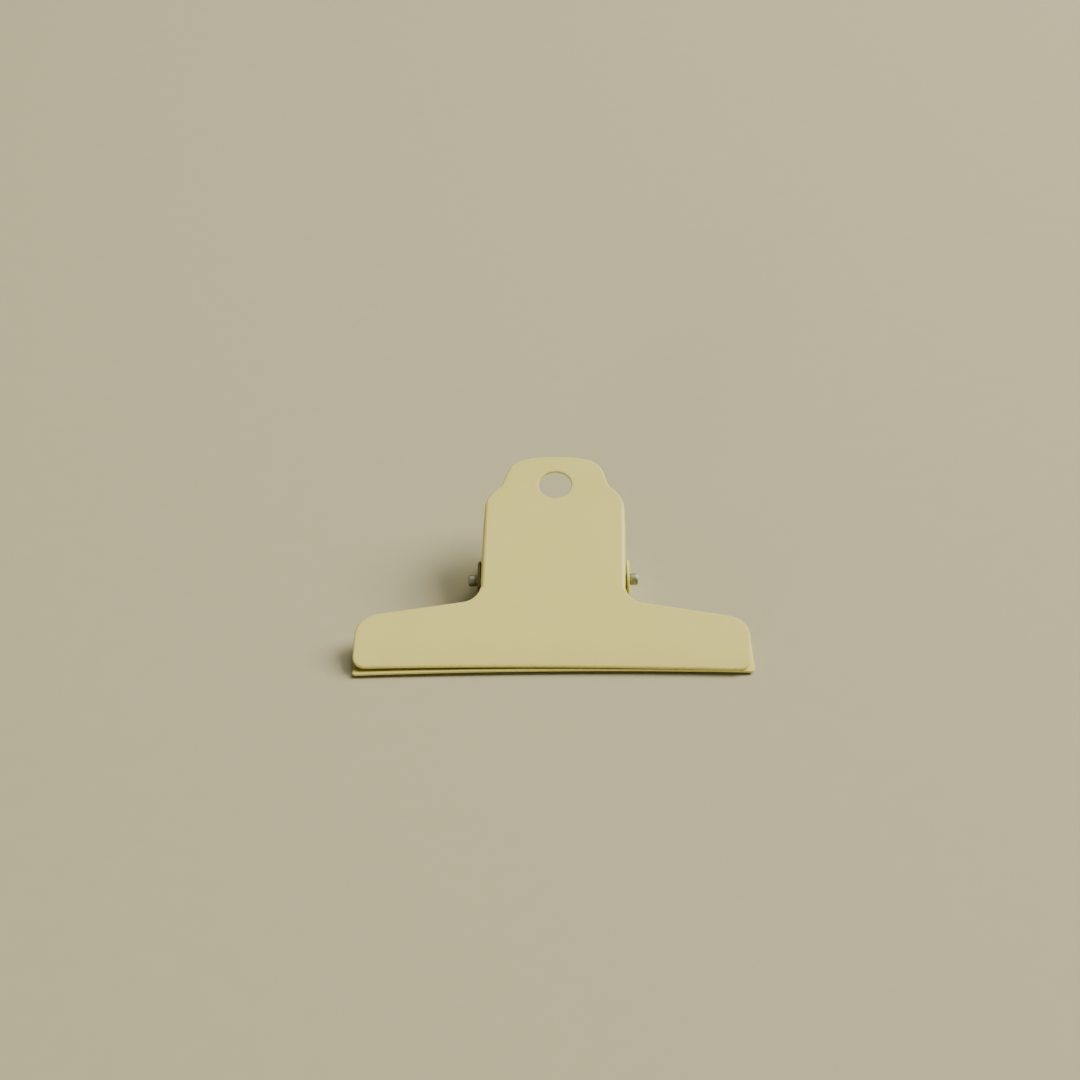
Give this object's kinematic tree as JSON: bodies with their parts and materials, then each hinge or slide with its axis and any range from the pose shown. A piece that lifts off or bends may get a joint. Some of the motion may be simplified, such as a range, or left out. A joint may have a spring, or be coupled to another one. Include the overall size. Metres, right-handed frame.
{
  "type": "wide-jaw spring clip",
  "caption": "Painted sheet-steel spring clip with wide jaws, folded handles with hanging holes, a steel hinge pin and a coiled torsion spring.",
  "frame": {"origin": "on the back plate's outer face, straight under the hinge pin, halfway between the handle's sides", "axes": "+X along the jaws and the hinge pin, +Y from the jaws to the handles, +Z out of the back plate towards the front plate"},
  "size_m": [0.1279, 0.0865, 0.0307],
  "materials": {
    "paint": "satin pale khaki enamel over stamped sheet steel",
    "pin_steel": "dull turned steel",
    "spring_steel": "drawn spring wire, lightly oiled"
  },
  "bodies": {
    "back": {"back_plate": "paint", "hinge_pin": "pin_steel", "torsion_spring": "spring_steel"},
    "front": {"front_plate": "paint"}
  },
  "joints": [
    {"name": "jaw_hinge", "type": "hinge", "parent": "back", "child": "front", "pos_m": [0, 0, 0.0082], "axis": [-1, 0, 0], "range_deg": [0, 32], "stiffness_Nm_per_rad": 0.25, "springref_deg": -89.95, "deforming": ["torsion_spring"]}
  ]
}
